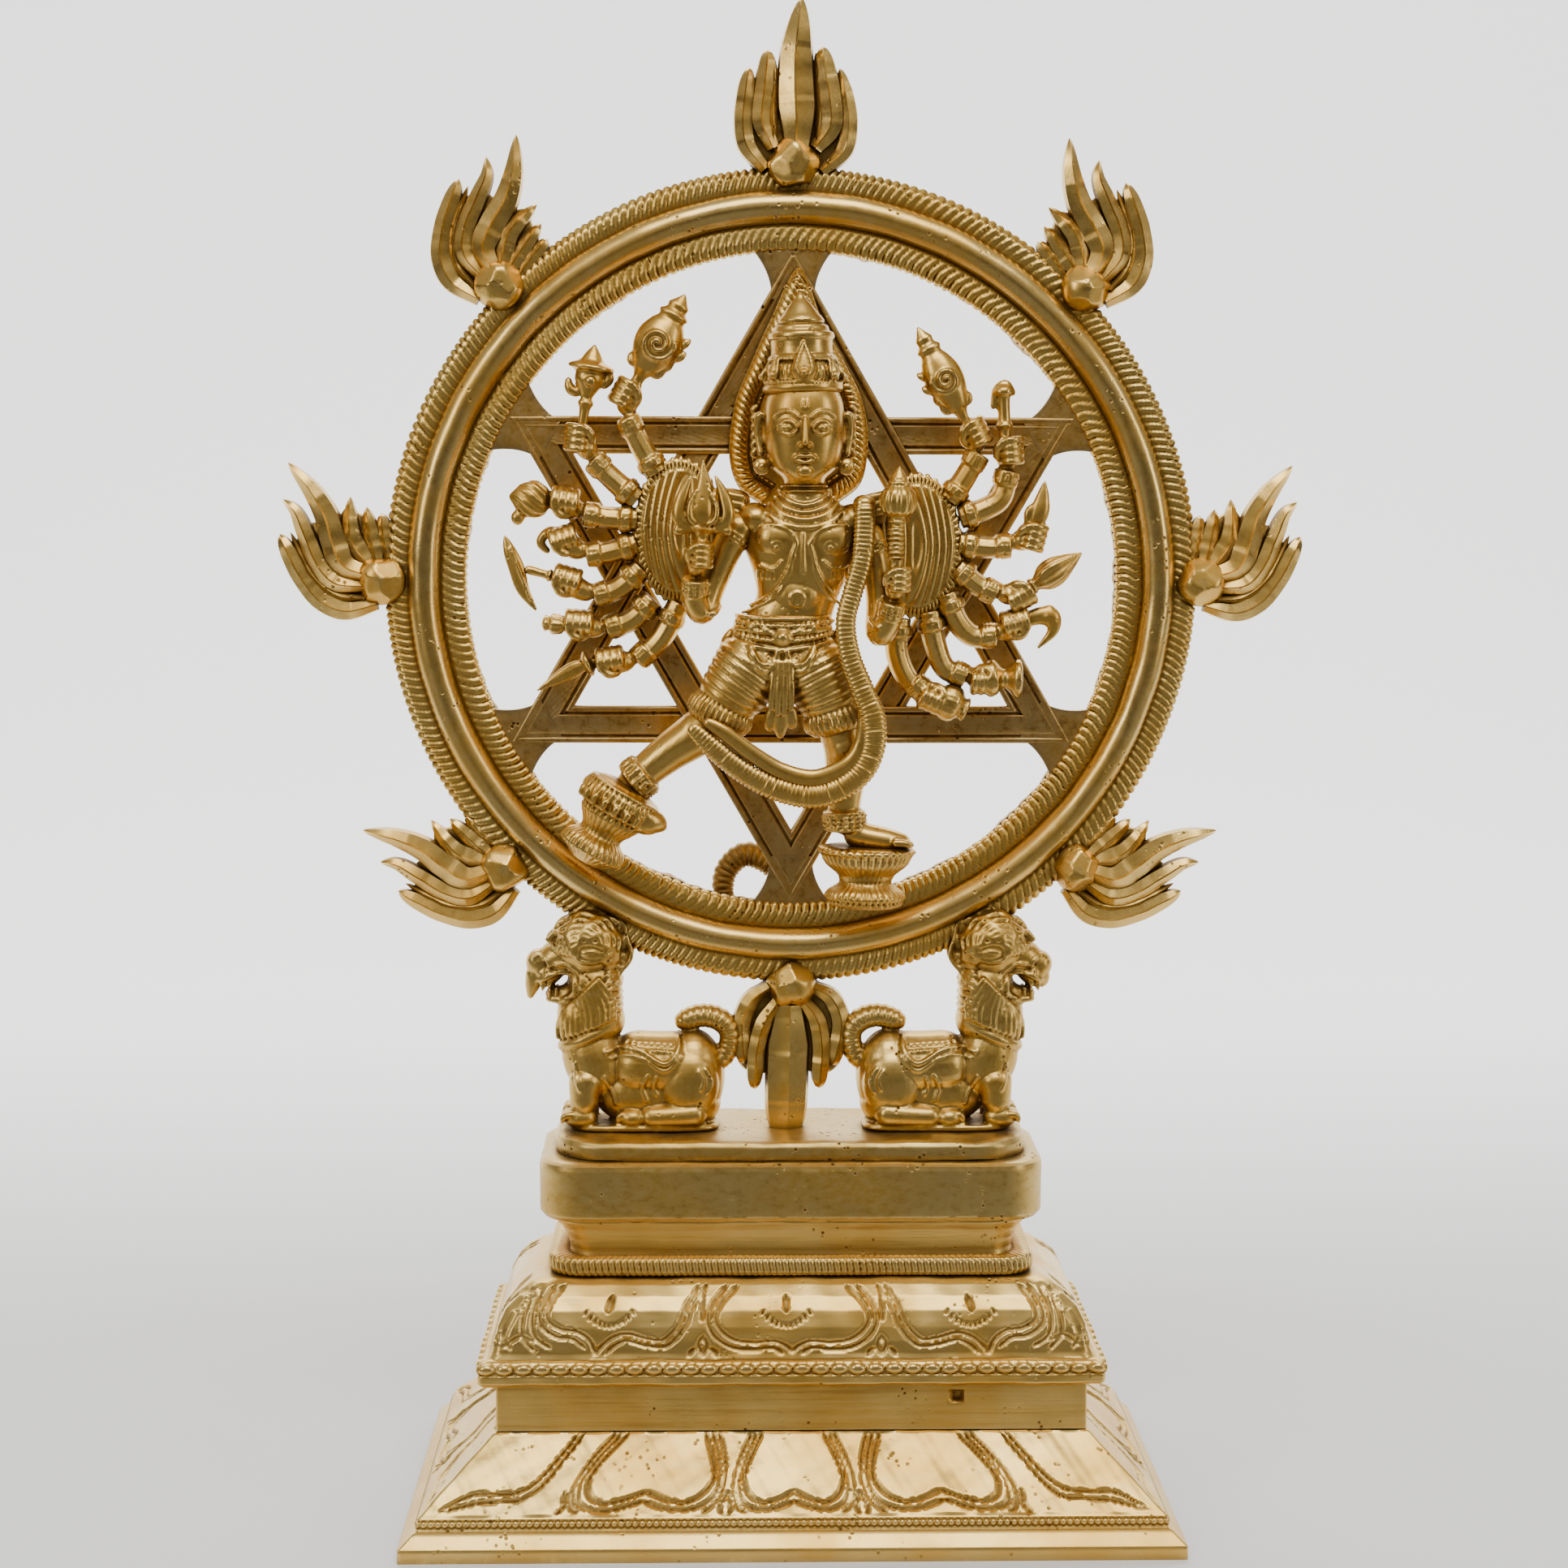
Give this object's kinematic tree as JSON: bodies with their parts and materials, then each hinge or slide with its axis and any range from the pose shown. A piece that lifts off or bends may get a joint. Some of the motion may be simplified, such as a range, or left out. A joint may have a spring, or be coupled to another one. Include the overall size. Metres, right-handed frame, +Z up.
{
  "type": "brass wheel deity statue",
  "caption": "Brass statue of a many-armed dancing figure in a flaming ring with a six-pointed star, on two seated lions and a tiered lotus pedestal.",
  "frame": {"origin": "centre of the foot's underside", "axes": "+Z up, the figure faces -Y, +X to the right of a viewer in front"},
  "size_m": [0.2538, 0.1006, 0.3801],
  "materials": {
    "polished_brass": "hand filed and buffed cast brass, bright on high places, brown in engraved lines",
    "cast_brass": "chased cast brass with dark recesses and small casting pores",
    "old_brass": "unpolished brass, brown and rough from the mould"
  },
  "bodies": {
    "root": {"arm_left_1": "cast_brass", "arm_left_2": "cast_brass", "arm_left_3": "cast_brass", "arm_left_4": "cast_brass", "arm_left_5": "cast_brass", "arm_left_6": "cast_brass", "arm_left_7": "cast_brass", "arm_left_front": "cast_brass", "arm_right_1": "cast_brass", "arm_right_2": "cast_brass", "arm_right_3": "cast_brass", "arm_right_4": "cast_brass", "arm_right_5": "cast_brass", "arm_right_6": "cast_brass", "arm_right_7": "cast_brass", "arm_right_front": "cast_brass", "bell_left": "cast_brass", "conch_left": "cast_brass", "conch_right": "cast_brass", "crescent_left": "cast_brass", "crown": "polished_brass", "dado_band": "polished_brass", "dagger_left": "cast_brass", "deck_slab": "polished_brass", "dhoti": "polished_brass", "fan_plate_left": "cast_brass", "fan_plate_right": "cast_brass", "figure_rivet_lower": "old_brass", "figure_rivet_upper": "old_brass", "flame_lower_left": "cast_brass", "flame_lower_right": "cast_brass", "flame_middle_left": "cast_brass", "flame_middle_right": "cast_brass", "flame_top": "cast_brass", "flame_upper_left": "cast_brass", "flame_upper_right": "cast_brass", "garland": "cast_brass", "halo_arch": "cast_brass", "head": "polished_brass", "leg_left": "polished_brass", "leg_right": "polished_brass", "lion_left": "cast_brass", "lion_pin_left": "old_brass", "lion_pin_right": "old_brass", "lion_right": "cast_brass", "lotus_bud_right": "cast_brass", "lotus_left": "cast_brass", "lotus_right": "cast_brass", "lower_lotus_tier": "polished_brass", "mace_right": "cast_brass", "oval_collar": "polished_brass", "petal_stem": "cast_brass", "rear_stay": "old_brass", "rope_neck": "polished_brass", "star_frame": "old_brass", "stem_nut": "old_brass", "torso": "polished_brass", "trident_left": "cast_brass", "upper_lotus_tier": "polished_brass", "wheel_rim": "polished_brass"}
  },
  "joints": []
}
